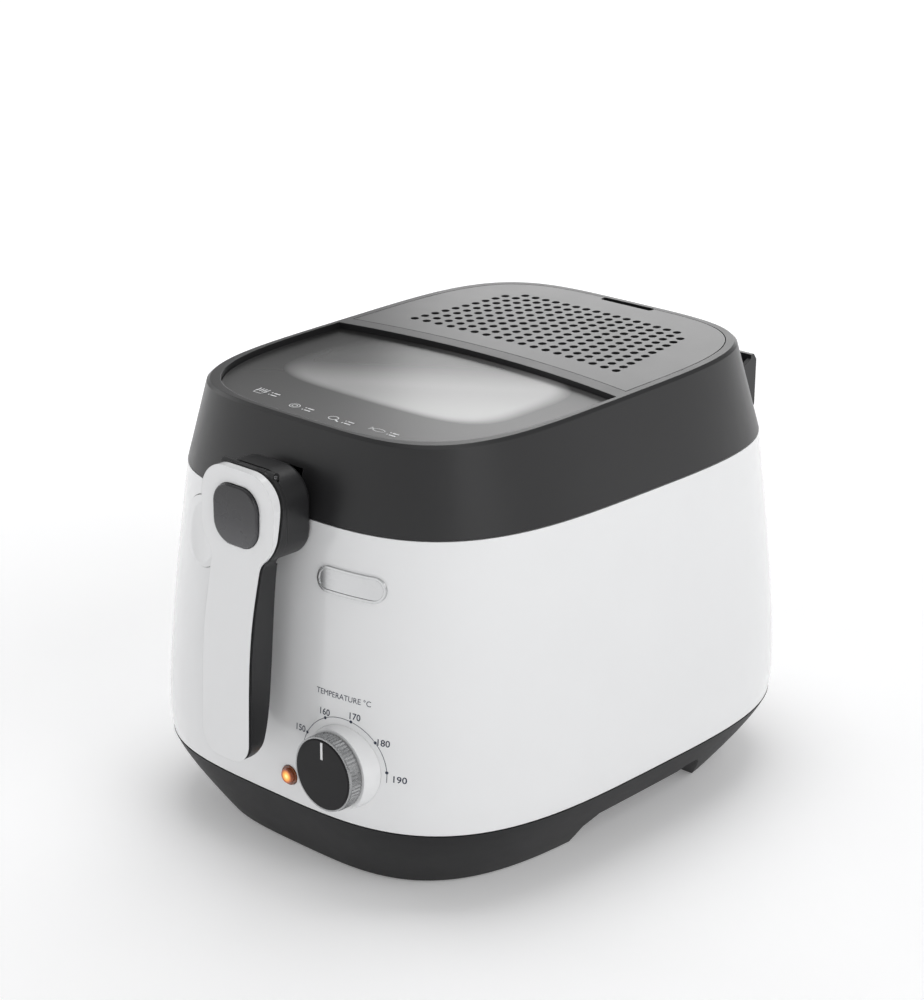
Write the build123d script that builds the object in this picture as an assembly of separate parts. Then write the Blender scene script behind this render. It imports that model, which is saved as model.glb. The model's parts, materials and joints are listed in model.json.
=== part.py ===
from build123d import *
import math
import os

# Household deep fryer, modelled closed, with its front handle folded down.
# Frame: millimetres, +Z up, front of the appliance towards -Y, origin on the table plane below the bowl's centre.

# ---------------------------------------------------------------- driving dimensions
# Body outline: every level is a superellipse whose half-depth is its half-width plus DEPTH_EXTRA.
BELLY_HALF_WIDTH = 150.0
BELLY_Z = 66.0
PARTING_HALF_WIDTH = 136.0
PARTING_Z = 222.5
SHOULDER_POWER = 1.4
SKIRT_Z = 48.0
SKIRT_ROLL = 1.6
DEPTH_EXTRA = 35.5
CORNER_POWER = 3.45
OUTLINE_POINTS = 48
CASING_WALL = 2.5

# Base tray
BASE_BOTTOM = 1.5
BASE_TOP = 47.4
BASE_TOP_HALF_WIDTH = 148.6
BASE_TAPER = 32.0
BASE_TAPER_POWER = 1.15
BASE_EXTRA_DEPTH = 6.0
BASE_WALL = 3.0
ARCH_FRONT_Y = -42.0
ARCH_REAR_Y = 86.0
ARCH_Z = 25.5
FLOOR_TOP = BASE_BOTTOM + BASE_WALL
FOOT_PLACES = [(-84, -118), (84, -118), (-84, 122), (84, 122)]
FOOT_HEIGHT = 3.0
FOOT_RADIUS = 9.0
POST_RADIUS = 6.5
SCREW_RADIUS = 1.9

# Lid
LID_BOTTOM = 223.3
LID_TOP = 278.0
LID_SLOPE = 0.029
LID_TOP_HALF_WIDTH = 120.0
LID_TOP_FRONT = 156.7
LID_TOP_BACK = 150.3
LID_TOP_POWER = 4.1
LID_WALL = 3.0
DECK = 10.5
RIM_BEVEL = 1.8
RIM_LAND = 6.5
WINDOW_LAND = 4.8
WINDOW_POWER = 3.7
BAR_FRONT_Y = -9.3
BAR_REAR_Y = 1.06
BAR_BOW = 11.8
BAR_BOW_HALF_WIDTH = 120.0
GLASS_DEPTH = 3.5
GLASS_THICKNESS = 3.0
GASKET_THICKNESS = 1.0
COVER_THICKNESS = 2.5
COVER_GAP = 0.5
LEDGE = 9.0
WELL_WALL = 2.5
LINER_FLANGE_Z = 224.6
LINER_TOP_Z = 255.0
LINER_SHEET = 1.2
LINER_FLANGE_HALF = 129.0
SEAL_INNER_HALF = 117.0
LID_SCREW_PLACES = [(-124, -45), (124, -45), (-124, 45), (124, 45)]

# Vent holes of the filter cover
VENT_COLUMNS = 18
VENT_ROWS = 11
VENT_RADIUS = 2.7
VENT_FIRST_Y = 33.2
VENT_ROW_PITCH = 8.28
VENT_PITCH_FRONT = 9.88
VENT_PITCH_REAR = 8.5
VENT_BOW = 3.9

# Lid hinge
HINGE_Y = 184.0
HINGE_Z = 233.0
HINGE_PIN_RADIUS = 2.5
HINGE_SCREW_XS = (-30, -10, 10, 30)
HINGE_SCREW_Z = 213.0
RUNNING_CLEARANCE = 0.06

# Bowl and what heats it
BOWL_RIM_Z = 192.0
BOWL_BOTTOM_Z = 64.0
BOWL_RIM_HALF_WIDTH = 111.0
BOWL_BOTTOM_HALF_WIDTH = 99.0
BOWL_DEPTH_EXTRA = 31.0
BOWL_CORNER = 14.0
BOWL_WALL = 1.5
COLLAR_HALF_WIDTH = 119.0
ELEMENT_RADIUS = 3.2
SPREADER_THICKNESS = 2.0
PLATE_Z = BOWL_BOTTOM_Z - SPREADER_THICKNESS
ELEMENT_Z = PLATE_Z - ELEMENT_RADIUS
BULB_X = 30.0
BULB_Z = PLATE_Z - 3.2
SHIELD_Z = 40.0
SHIELD_THICKNESS = 0.8

# Electrical parts
GLAND_X = -92.0
GLAND_Z = 70.0
CONTROL_BACK_Y = -152.0
TERMINAL_X = 12.0
TERMINAL_BLOCK_HEIGHT = 13.0
LEAD_RADIUS = 1.2

# Front slot that the basket's lift bracket slides in
SLOT_HALF_WIDTH = 14.5
SLOT_BOTTOM = 201.2
SLOT_TOP = 248.0
LIFT_BAR_HALF_WIDTH = 11.0
LIFT_BAR_Z = 203.0
LIFT_PLATE_Y = -178.5
LIFT_BAR_THICKNESS = 4.0

# Basket, at rest in the lowered position
BASKET_RIM_Z = 191.0
BASKET_BOTTOM_Z = 84.0
BASKET_RIM_HALF_WIDTH = 96.0
BASKET_BOTTOM_HALF_WIDTH = 86.0
BASKET_DEPTH_EXTRA = 27.0
BASKET_WALL = 1.2

# Handle, folded down against the front
POD_WIDTH = 60.0
POD_BOTTOM = 199.0
POD_TOP = 254.0
POD_CORNER = 20.0
POD_SPLIT_Y = -195.5
HOUSING_FRONT_Y = -191.2
HOUSING_BACK_Y = -172.2
FOLD_Y = -191.5
FOLD_Z = 251.4
ARM_WIDTH = 39.6
ARM_BOTTOM = 80.0
ARM_CORNER = 14.0
NECK_RADIUS = 9.0
COVER_BEVEL_DEPTH = 2.5
COVER_BEVEL_WIDTH = 3.5
COVER_FRONT_LINE = [(-202.0, 260), (-202.0, 232), (-203.6, 206), (-211.3, 164), (-214.9, 120), (-216.3, 76)]
COVER_BACK_LINE = [(-195.5, 260), (-195.5, 224), (-200.0, 204), (-208.7, 164), (-212.3, 120), (-213.7, 76)]
CORE_BACK_LINE = [(-189.4, 203), (-194.1, 164), (-197.6, 124), (-201.4, 100), (-209.0, 83), (-213.5, 79)]
HANDLE_PIN_RADIUS = 1.2
BUTTON_Z = 226.3
BUTTON_BACK_Y = POD_SPLIT_Y - 3.2
SPRING_SEAT_Y = -193.7
BUTTON_WIDTH = 36.4
BUTTON_HEIGHT = 35.6
BUTTON_CORNER = 13.0
BUTTON_FACE_Y = -204.2

# Front controls
DIAL_X = 61.0
DIAL_Z = 83.0
DIAL_RADIUS = 22.8
KNOB_FACE_Y = -197.5
KNOB_SHAFT_RADIUS = 3.0
BEZEL_FACE_Y = -187.6
BEZEL_BACK_Y = -174.0
RING_WALL = 1.3
LAMP_X = 21.0
LAMP_Z = 65.2
LAMP_RADIUS = 6.0
RELEASE_X = -65.0
LATCH_X = -57.0
RELEASE_Z = 192.0
RELEASE_RADIUS = 21.3
RELEASE_THICKNESS = 3.4
RELEASE_PROUD = 0.6
DISH_RADIUS = 110.0
DISH_DEPTH = 1.6
RELEASE_SPRING_Z = 181.5
RELEASE_SPRING_FRONT = -168.8
RELEASE_SPRING_BACK = -160.4
LATCH_PIN_RADIUS = 1.2
LEVER_Y = -161.0
LEVER_Z = 200.0
BADGE_X = 60.0
BADGE_Z = 192.2
BADGE_LENGTH = 46.5
BADGE_HEIGHT = 15.0
BADGE_THICKNESS = 1.2

# General fits
CLEARANCE = 0.3
CONTACT_GAP = 0.03
FAR = 400.0


# ---------------------------------------------------------------- outlines and small shapes
def casing_half_width(z):
    """Half-width of the casing's outer surface at height z."""
    if z < BELLY_Z:
        return BELLY_HALF_WIDTH - SKIRT_ROLL * ((BELLY_Z - z) / (BELLY_Z - SKIRT_Z)) ** 2
    rise = (z - BELLY_Z) / (PARTING_Z - BELLY_Z)
    return BELLY_HALF_WIDTH - (BELLY_HALF_WIDTH - PARTING_HALF_WIDTH) * rise ** SHOULDER_POWER


def oval(half_width, front, back, z=0.0, power=CORNER_POWER, slope=0.0):
    """Closed superellipse wire at height z, tilted about X by slope."""
    points = []
    for step in range(OUTLINE_POINTS):
        angle = 2 * math.pi * step / OUTLINE_POINTS
        across, along = math.cos(angle), math.sin(angle)
        depth = back if along > 0 else front
        reach = (abs(across / half_width) ** power + abs(along / depth) ** power) ** (-1 / power)
        points.append((reach * across, reach * along, z + slope * reach * along))
    return Wire([Edge.make_spline([Vector(*p) for p in points], periodic=True)])


def tub(sections, ruled=True):
    """Solid through a list of oval sections, each (half-width, front, back, z, power, slope)."""
    return Solid.make_loft([oval(*section) for section in sections], ruled)


def casing_solid(low, high, grow=0.0, levels=7):
    """Solid under the casing's outer surface between two heights, grown outwards by grow."""
    sections = []
    for level in range(levels):
        z = low + (high - low) * level / (levels - 1)
        half = casing_half_width(z) + grow
        sections.append((half, half + DEPTH_EXTRA, half + DEPTH_EXTRA, z))
    return tub(sections, ruled=False)


def ring_tub(sections, wall):
    """Open tube: a tub less the same tub with its outline drawn in by wall."""
    inner = [(s[0] - wall, s[1] - wall, s[2] - wall) + tuple(s[3:]) for s in sections]
    low, high = inner[0], inner[-1]
    below = low[:3] + (low[3] - 1,) + low[4:]
    above = high[:3] + (high[3] + 1,) + high[4:]
    return tub(sections) - tub([below] + inner + [above])


def block(x0, x1, y0, y1, z0, z1):
    """Axis-aligned box between two corners."""
    return Pos((x0 + x1) / 2, (y0 + y1) / 2, (z0 + z1) / 2) * Box(x1 - x0, y1 - y0, z1 - z0)


def rod_x(x0, x1, y, z, radius):
    """Cylinder along X."""
    return Pos((x0 + x1) / 2, y, z) * Rot(0, 90, 0) * Cylinder(radius, x1 - x0)


def rod_y(x, y0, y1, z, radius):
    """Cylinder along Y."""
    return Pos(x, (y0 + y1) / 2, z) * Rot(90, 0, 0) * Cylinder(radius, y1 - y0)


def rod_z(x, y, z0, z1, radius):
    """Cylinder along Z."""
    return Pos(x, y, (z0 + z1) / 2) * Cylinder(radius, z1 - z0)


def front_prism(sketch, y0, y1):
    """Sketch drawn in X and Z, extruded along Y from y0 to y1."""
    return extrude(Plane.XZ.offset(-y1) * sketch, amount=y1 - y0, dir=(0, -1, 0))


def side_prism(points, half_width, x=0.0):
    """Polygon given in Y and Z, extruded both ways along X."""
    face = make_face(Plane.YZ * Polyline(*points, close=True))
    return Pos(x, 0, 0) * extrude(face, amount=half_width, both=True)


def tube(points, bend, radius):
    """Round bar along straight runs joined by arcs."""
    path = FilletPolyline(*points, radius=bend)
    start = path @ 0
    profile = Plane(origin=start, z_dir=path % 0) * Circle(radius)
    return sweep(profile, path=path)


# ---------------------------------------------------------------- lid plane
LID_PLANE = Plane(origin=(0, 0, LID_TOP), x_dir=(1, 0, 0), z_dir=(0, -LID_SLOPE, 1))


def below_lid(face, high, low):
    """Flat face extruded between two depths under the lid's top plane."""
    return extrude(LID_PLANE.offset(-high) * face, amount=low - high, dir=-LID_PLANE.z_dir)


def bowed_half(edge_y, sign):
    """Half plane in front of (sign -1) or behind (sign 1) the ridge's bowed edge."""
    reach = 160.0
    end_y = edge_y + BAR_BOW * (1 - (reach / BAR_BOW_HALF_WIDTH) ** 2)
    arc = ThreePointArc((-reach, end_y), (0, edge_y + BAR_BOW), (reach, end_y))
    far = sign * 220.0
    return make_face([arc, Polyline((reach, end_y), (reach, far), (-reach, far), (-reach, end_y))])


def window_face(inset):
    """Outline of the window, drawn in by inset."""
    outline = Face(oval(LID_TOP_HALF_WIDTH - WINDOW_LAND - inset, LID_TOP_FRONT - WINDOW_LAND - inset,
                        LID_TOP_BACK, power=WINDOW_POWER))
    return outline & bowed_half(BAR_FRONT_Y - inset, -1)


def filter_face(inset):
    """Outline of the filter cover, drawn in by inset."""
    outline = Face(oval(LID_TOP_HALF_WIDTH - RIM_LAND - inset, LID_TOP_FRONT,
                        LID_TOP_BACK - RIM_LAND + 1 - inset, power=LID_TOP_POWER))
    return outline & bowed_half(BAR_REAR_Y + inset, 1)


def lid_outer():
    """Solid under the lid's outer surface."""
    parting = (PARTING_HALF_WIDTH, PARTING_HALF_WIDTH + DEPTH_EXTRA, PARTING_HALF_WIDTH + DEPTH_EXTRA, LID_BOTTOM)
    edge = (LID_TOP_HALF_WIDTH, LID_TOP_FRONT, LID_TOP_BACK, LID_TOP - RIM_BEVEL, LID_TOP_POWER, LID_SLOPE)
    top = (LID_TOP_HALF_WIDTH - RIM_BEVEL, LID_TOP_FRONT - RIM_BEVEL, LID_TOP_BACK - RIM_BEVEL, LID_TOP,
           LID_TOP_POWER, LID_SLOPE)
    return tub([parting, edge, top])


# ---------------------------------------------------------------- base
def base_half_width(z):
    """Half-width of the base tray's outer surface at height z."""
    fall = 1 - (z - BASE_BOTTOM) / (BASE_TOP - BASE_BOTTOM)
    return BASE_TOP_HALF_WIDTH - BASE_TAPER * fall ** BASE_TAPER_POWER


def base_section(z, inset):
    """Oval section of the base tray at height z."""
    fall = (BASE_TOP - z) / (BASE_TOP - BASE_BOTTOM)
    half = base_half_width(min(max(z, BASE_BOTTOM), BASE_TOP)) - inset
    depth = half + DEPTH_EXTRA + BASE_EXTRA_DEPTH * fall
    return (half, depth, depth, z)


def arch(grow):
    """Prism along X that lifts the underside between the front and rear feet."""
    points = [
        (ARCH_FRONT_Y - grow, -10),
        (ARCH_FRONT_Y - 2 - grow, 16),
        (ARCH_FRONT_Y + 6 - grow / 2, ARCH_Z - 1 + grow),
        (38 - grow / 2, ARCH_Z + 1 + grow),
        (46 - grow / 2, ARCH_Z + 3.6 + grow),
        (57 + grow / 2, ARCH_Z + 3.4 + grow),
        (63 + grow, ARCH_Z - 1.5 + grow / 2),
        (ARCH_REAR_Y + grow, -2),
        (ARCH_REAR_Y + grow, -10),
    ]
    return side_prism(points, FAR / 2)


def base_tray():
    levels = [BASE_BOTTOM, 12, 24, 36, BASE_TOP]
    outer = tub([base_section(z, 0) for z in levels], ruled=False) - arch(0)
    inner_levels = [BASE_BOTTOM + BASE_WALL, 12, 24, 36, BASE_TOP + 1]
    inner = tub([base_section(z, BASE_WALL) for z in inner_levels], ruled=False) - arch(BASE_WALL)
    lip = casing_solid(BASE_TOP - 4, SKIRT_Z + 6, -CASING_WALL - CLEARANCE, 3)
    shoulder = casing_solid(BASE_TOP - 1, SKIRT_Z, -0.9, 3)
    hollow = casing_solid(BASE_TOP - 5, SKIRT_Z + 7, -CASING_WALL - CLEARANCE - 2, 3)
    tray = (outer - inner) + ((lip + shoulder) - hollow)
    for x, y in FOOT_PLACES:
        tray = tray - rod_z(x, y, 0, FOOT_HEIGHT, FOOT_RADIUS) - rod_z(x, y, 0, 12, SCREW_RADIUS)
    for x in range(-40, 41, 16):
        tray = tray - block(x - 2, x + 2, -20, 34, 20, 40)
    return tray


def rubber_feet():
    feet = []
    for x, y in FOOT_PLACES:
        feet.append(rod_z(x, y, 0, FOOT_HEIGHT, FOOT_RADIUS) - rod_z(x, y, -1, 4, 4.2))
    return feet


def base_screws():
    screws = []
    for x, y in FOOT_PLACES:
        screws.append(rod_z(x, y, 1.2, FOOT_HEIGHT, 3.8) + rod_z(x, y, FOOT_HEIGHT, 22, SCREW_RADIUS))
    return screws


def support_posts():
    posts = []
    for x, y in FOOT_PLACES:
        posts.append(rod_z(x, y, FLOOR_TOP, PLATE_Z, POST_RADIUS) - rod_z(x, y, 0, 24, SCREW_RADIUS))
    return posts


# ---------------------------------------------------------------- casing and collar
def front_slot(low, high):
    """Space that the lift bracket needs in the front walls."""
    return block(-SLOT_HALF_WIDTH, SLOT_HALF_WIDTH, -FAR / 2, -118, low, high)


def casing_inside(gap=0.0):
    """Space enclosed by the casing's inner surface."""
    return casing_solid(SKIRT_Z - 1, PARTING_Z + 1, -CASING_WALL - gap)


def casing_outside(gap=CONTACT_GAP):
    """Solid enclosed by the casing's outer surface."""
    return casing_solid(SKIRT_Z - 1, PARTING_Z + 1, gap)


def outer_casing():
    shell = casing_solid(SKIRT_Z, PARTING_Z) - casing_inside()
    shell = shell - front_slot(SLOT_BOTTOM, PARTING_Z + 1)
    shell = shell - rod_y(RELEASE_X, -FAR / 2, -150, RELEASE_Z, RELEASE_RADIUS + 0.4)
    shell = shell - rod_y(LAMP_X, -FAR / 2, -170, LAMP_Z, LAMP_RADIUS + 0.2)
    shell = shell - rod_y(DIAL_X, -FAR / 2, -160, DIAL_Z, 4.2)
    shell = shell - rod_y(GLAND_X, 160, FAR / 2, GLAND_Z, 7.0)
    for x in HINGE_SCREW_XS:
        shell = shell - rod_y(x, 160, FAR / 2, HINGE_SCREW_Z, 1.6)
    return shell


def rim_collar():
    """Black ring from the casing's top edge down to the bowl's rim."""
    low = COLLAR_HALF_WIDTH
    ledge = casing_inside() & block(-FAR, FAR, -FAR, FAR, PARTING_Z - 3, PARTING_Z)
    wall = tub([(low, low + DEPTH_EXTRA, low + DEPTH_EXTRA, BOWL_RIM_Z),
                (low + 2, low + 2 + DEPTH_EXTRA, low + 2 + DEPTH_EXTRA, PARTING_Z)])
    well = tub([(low - 2.5, low - 2.5 + DEPTH_EXTRA, low - 2.5 + DEPTH_EXTRA, BOWL_RIM_Z + 2.8),
                (low - 0.5, low - 0.5 + DEPTH_EXTRA, low - 0.5 + DEPTH_EXTRA, PARTING_Z + 1)])
    mouth = BOWL_RIM_HALF_WIDTH + 0.5
    opening = tub([(mouth, mouth + BOWL_DEPTH_EXTRA, mouth + BOWL_DEPTH_EXTRA, BOWL_RIM_Z - 1),
                   (mouth, mouth + BOWL_DEPTH_EXTRA, mouth + BOWL_DEPTH_EXTRA, BOWL_RIM_Z + 4)])
    collar = (ledge + wall) - well - opening
    collar = collar - front_slot(SLOT_BOTTOM, PARTING_Z + 1)
    catch_hole = block(LATCH_X - 9, LATCH_X + 9, -166, -155, PARTING_Z - 4, PARTING_Z + 1)
    return collar - catch_hole


# ---------------------------------------------------------------- bowl and heating
def bowl_sections(inset, low, high):
    """Sections of the bowl with a quarter-round foot, drawn in by inset."""
    sections = []
    steps = 5
    for step in range(steps + 1):
        turn = math.pi / 2 * step / steps
        half = BOWL_BOTTOM_HALF_WIDTH - BOWL_CORNER * (1 - math.sin(turn)) - inset
        z = low + BOWL_CORNER * (1 - math.cos(turn))
        sections.append((half, half + BOWL_DEPTH_EXTRA, half + BOWL_DEPTH_EXTRA, z))
    half = BOWL_RIM_HALF_WIDTH - inset
    sections.append((half, half + BOWL_DEPTH_EXTRA, half + BOWL_DEPTH_EXTRA, high))
    return sections


def oil_bowl():
    outside = tub(bowl_sections(0, BOWL_BOTTOM_Z, BOWL_RIM_Z))
    lip_half = BOWL_RIM_HALF_WIDTH + 5
    lip_size = (lip_half, lip_half + BOWL_DEPTH_EXTRA, lip_half + BOWL_DEPTH_EXTRA)
    lip = tub([lip_size + (BOWL_RIM_Z - BOWL_WALL,), lip_size + (BOWL_RIM_Z,)])
    inside = tub(bowl_sections(BOWL_WALL, BOWL_BOTTOM_Z + BOWL_WALL, BOWL_RIM_Z + 1))
    return (outside + lip) - inside


def bowl_cradle():
    """Flat steel ring that carries the bowl on the four posts."""
    wide = (106.0, 137.0, 137.0)
    narrow = (79.0, 109.0, 109.0)
    low, high = PLATE_Z, BOWL_BOTTOM_Z
    ring = tub([wide + (low,), wide + (high,)]) - tub([narrow + (low - 1,), narrow + (high + 1,)])
    return ring - block(-20, 20, 100, 150, low - 1, high + 1)


def heat_spreader():
    size = (77.5, 107.5, 107.5)
    return tub([size + (PLATE_Z,), size + (BOWL_BOTTOM_Z,)])


def heating_element():
    """Open rounded loop of sheathed heating tube, its two ends towards the back."""
    z = ELEMENT_Z
    route = [(-12, 122, z), (-12, 86, z), (-66, 86, z), (-66, -88, z), (66, -88, z), (66, 86, z), (12, 86, z),
             (12, 122, z)]
    return tube(route, [12, 22, 34, 34, 22, 12], ELEMENT_RADIUS)


def element_terminals():
    ends = []
    for x in (-TERMINAL_X, TERMINAL_X):
        collar = rod_y(x, 122, 129, ELEMENT_Z, 4.6)
        spade = block(x - 3, x + 3, 129, 139, ELEMENT_Z - 0.5, ELEMENT_Z + 0.5)
        ends.append(collar + spade)
    return ends


def heat_shield():
    size = (98.0, 132.0, 132.0)
    sheet = tub([size + (SHIELD_Z,), size + (SHIELD_Z + SHIELD_THICKNESS,)])
    for x, y in FOOT_PLACES:
        sheet = sheet - rod_z(x, y, 30, 50, POST_RADIUS)
    return sheet - block(-45, 30, 112, 140, 30, 50)


def shield_clips():
    """Spring washers that hold the heat shield on the posts."""
    clips = []
    for x, y in FOOT_PLACES:
        low = SHIELD_Z + SHIELD_THICKNESS
        clips.append(rod_z(x, y, low, low + 1.2, 9.5) - rod_z(x, y, 39, 44, POST_RADIUS))
    return clips


# ---------------------------------------------------------------- electrical parts
def thermostat():
    """Capillary thermostat behind the dial, with its mounting plate."""
    body = block(DIAL_X - 18, DIAL_X + 18, -172, CONTROL_BACK_Y, DIAL_Z - 14, DIAL_Z + 14)
    plate = block(DIAL_X - 24, DIAL_X + 24, -174, -172, DIAL_Z - 14, DIAL_Z + 14)
    neck = rod_y(DIAL_X, -187, -174, DIAL_Z, 9)
    bore = rod_y(DIAL_X, -185, -160, DIAL_Z, KNOB_SHAFT_RADIUS + RUNNING_CLEARANCE)
    return ((body + plate + neck) & casing_inside(CONTACT_GAP)) - bore


def thermostat_bulb():
    """Copper sensing bulb and its capillary, run from the thermostat to the underside of the bowl."""
    bulb = rod_y(BULB_X, -50, 20, BULB_Z, 3.0)
    low = SHIELD_Z + 8
    line = tube([(DIAL_X, CONTROL_BACK_Y, DIAL_Z - 8), (DIAL_X, -143, DIAL_Z - 8), (DIAL_X, -139, low),
                 (DIAL_X - 16, -95, low), (BULB_X, -74, low + 2), (BULB_X, -60, BULB_Z), (BULB_X, -49, BULB_Z)],
                [3.5, 10, 8, 5, 4], 0.9)
    return bulb + line


def bulb_clips():
    clips = []
    for y in (-38, 8):
        hoop = rod_y(BULB_X, y - 4, y + 4, BULB_Z, 4.0)
        tabs = block(BULB_X - 6, BULB_X + 6, y - 4, y + 4, PLATE_Z - 1.2, PLATE_Z)
        below = block(BULB_X - 10, BULB_X + 10, y - 5, y + 5, BULB_Z - 5, BULB_Z - 1.5)
        hoop = (hoop + tabs) & block(0, FAR, -FAR, FAR, 0, PLATE_Z)
        clips.append(hoop - rod_y(BULB_X, y - 5, y + 5, BULB_Z, 3.0) - below)
    return clips


def thermal_cutout():
    """Round safety switch against the heat spreader."""
    can = rod_z(-28, 30, PLATE_Z - 9, PLATE_Z, 8)
    flange = block(-42, -14, 22, 38, PLATE_Z - 1.2, PLATE_Z)
    tabs = block(-31, -25, 26, 34, PLATE_Z - 15, PLATE_Z - 9)
    return can + flange + tabs


def terminal_block():
    top = FLOOR_TOP + TERMINAL_BLOCK_HEIGHT
    base = block(-40, 0, 118, 134, FLOOR_TOP, top)
    for x in (-33, -20, -7):
        base = base - rod_z(x, 126, top - 6, top + 1, 1.0)
    return base


def wiring():
    """Heat-proof leads from the terminal block to the element, thermostat and lamp."""
    top = FLOOR_TOP + TERMINAL_BLOCK_HEIGHT
    spade_edge = TERMINAL_X + 3
    left = tube([(-33, 126, top), (-33, 126, 34), (-34, 136, ELEMENT_Z), (-spade_edge, 136, ELEMENT_Z)],
                [6, 6], LEAD_RADIUS)
    right = tube([(-7, 126, top), (-7, 126, 26), (4, 140, 40), (22, 136, ELEMENT_Z), (spade_edge, 136, ELEMENT_Z)],
                 [5, 6, 1.5], LEAD_RADIUS)
    long = tube([(0, 130, 12), (14, 130, 12), (34, 138, 24), (108, 100, 37), (124, 60, 40), (124, -60, 44), (104, -142, 56),
                 (90, -160, 78), (DIAL_X + 18, -160, 78)], [5, 8, 12, 14, 14, 10, 4], LEAD_RADIUS)
    lamp = tube([(LAMP_X, -163, LAMP_Z), (LAMP_X, -156, LAMP_Z), (LAMP_X + 7, -152, 71),
                 (DIAL_X - 26, -158, 76), (DIAL_X - 18, -158, 76)], [3, 3, 2.5], LEAD_RADIUS)
    return [left, right, long, lamp]


def pilot_lamp():
    """Neon lamp body clipped behind the lens."""
    body = rod_y(LAMP_X, -178.6, -163, LAMP_Z, 4.6)
    flange = rod_y(LAMP_X, -177.5, -175.5, LAMP_Z, 7.5)
    return body + flange


def pilot_lens():
    barrel = rod_y(LAMP_X, -186.2, -178.7, LAMP_Z, LAMP_RADIUS - 0.1)
    dome = Pos(LAMP_X, -186.2, LAMP_Z) * Sphere(LAMP_RADIUS - 1.3)
    cap = dome & block(-FAR, FAR, -188.2, -180, 0, FAR)
    flange = rod_y(LAMP_X, -190, -178.7, LAMP_Z, 7.6) & casing_inside(CONTACT_GAP)
    return barrel + cap + flange


def cord_gland():
    """Bushed inlet for the supply lead, low on the rear wall."""
    inner_y = 168.0
    head = rod_y(GLAND_X, 170, 186, GLAND_Z, 10.5) - casing_outside()
    stem = rod_y(GLAND_X, inner_y, 183, GLAND_Z, 6.9)
    nut = rod_y(GLAND_X, inner_y, 186, GLAND_Z, 10) & casing_inside(CONTACT_GAP)
    return (head + stem + nut) - rod_y(GLAND_X, 160, 200, GLAND_Z, 3.6)


# ---------------------------------------------------------------- front controls
def dial_bezel():
    """Raised white seat that the temperature knob turns on."""
    middle = (BEZEL_BACK_Y + BEZEL_FACE_Y) / 2
    seat = Pos(DIAL_X, middle, DIAL_Z) * Rot(90, 0, 0) * Cone(26.5, 24.2, BEZEL_BACK_Y - BEZEL_FACE_Y)
    return seat - casing_outside() - rod_y(DIAL_X, -FAR / 2, -150, DIAL_Z, 4.2)


def knob_ring():
    """Bright ring round the knob, with fine grip flutes."""
    flutes = 60
    points = []
    for step in range(2 * flutes):
        angle = math.pi * step / flutes
        radius = DIAL_RADIUS - (0.5 if step % 2 else 0.0)
        points.append((DIAL_X + radius * math.cos(angle), DIAL_Z + radius * math.sin(angle)))
    rim = front_prism(make_face(Polyline(*points, close=True)), -195.6, BEZEL_FACE_Y - 0.6)
    band = rod_y(DIAL_X, -196.8, -195.6, DIAL_Z, DIAL_RADIUS - 0.3)
    return (rim + band) - rod_y(DIAL_X, -199, -185, DIAL_Z, DIAL_RADIUS - RING_WALL)


def knob_cap():
    disc = rod_y(DIAL_X, KNOB_FACE_Y, BEZEL_FACE_Y - 0.6, DIAL_Z, DIAL_RADIUS - RING_WALL)
    disc = fillet(disc.edges().filter_by(GeomType.CIRCLE).sort_by(Axis.Y)[0], 1.0)
    return disc - rod_y(DIAL_X, KNOB_FACE_Y + 3, -180, DIAL_Z, KNOB_SHAFT_RADIUS) - pointer_slot(0)


def pointer_slot(proud):
    """Bar-shaped inlay of the knob's pointer line, standing proud of the knob's face."""
    return block(DIAL_X - 0.8, DIAL_X + 0.8, KNOB_FACE_Y - proud, KNOB_FACE_Y + 1.2, DIAL_Z + 9.6, DIAL_Z + 20.2)


def knob_pointer():
    return pointer_slot(0.25)


def knob_shaft():
    return rod_y(DIAL_X, KNOB_FACE_Y + 3, -161, DIAL_Z, KNOB_SHAFT_RADIUS)


def badge():
    """Blank rounded plate on the front, following the casing's curve."""
    outline = Pos(BADGE_X, BADGE_Z) * SlotOverall(BADGE_LENGTH, BADGE_HEIGHT)
    inner = Pos(BADGE_X, BADGE_Z) * SlotOverall(BADGE_LENGTH - 3, BADGE_HEIGHT - 3)
    field = front_prism(inner, -FAR / 2, -150) & casing_solid(160, 220, BADGE_THICKNESS / 2, 4)
    rim = front_prism(outline - inner, -FAR / 2, -150) & casing_solid(160, 220, BADGE_THICKNESS, 4)
    return (field + rim) - casing_outside()


# ---------------------------------------------------------------- lid release
def lid_button():
    """Round press button that follows the casing's curve, dished, with a stem and a spring boss behind."""
    disc = rod_y(RELEASE_X, -FAR / 2, -150, RELEASE_Z, RELEASE_RADIUS) & casing_solid(160, 222, RELEASE_PROUD, 4)
    disc = disc - casing_solid(159, 223, -RELEASE_THICKNESS, 4)
    outward = Vector(-0.203, -0.972, 0.112)
    centre = Vector(RELEASE_X, -172.1, RELEASE_Z) + outward * (DISH_RADIUS - DISH_DEPTH)
    disc = disc - Pos(*centre) * Sphere(DISH_RADIUS)
    stem = rod_y(LATCH_X, -170.6, -166.8, LEVER_Z - 10, 2.0)
    boss = rod_y(LATCH_X, -171.4, RELEASE_SPRING_FRONT, RELEASE_SPRING_Z, 3.6)
    pocket = block(LATCH_X - 7, LATCH_X + 7, -167.8, -150, LEVER_Z + 2, LEVER_Z + 15)
    ear_pocket = block(LATCH_X - 16, FAR, -167.0, -150, LEVER_Z - 4.5, LEVER_Z + 4.5)
    return (disc + stem + boss) - pocket - ear_pocket


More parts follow.
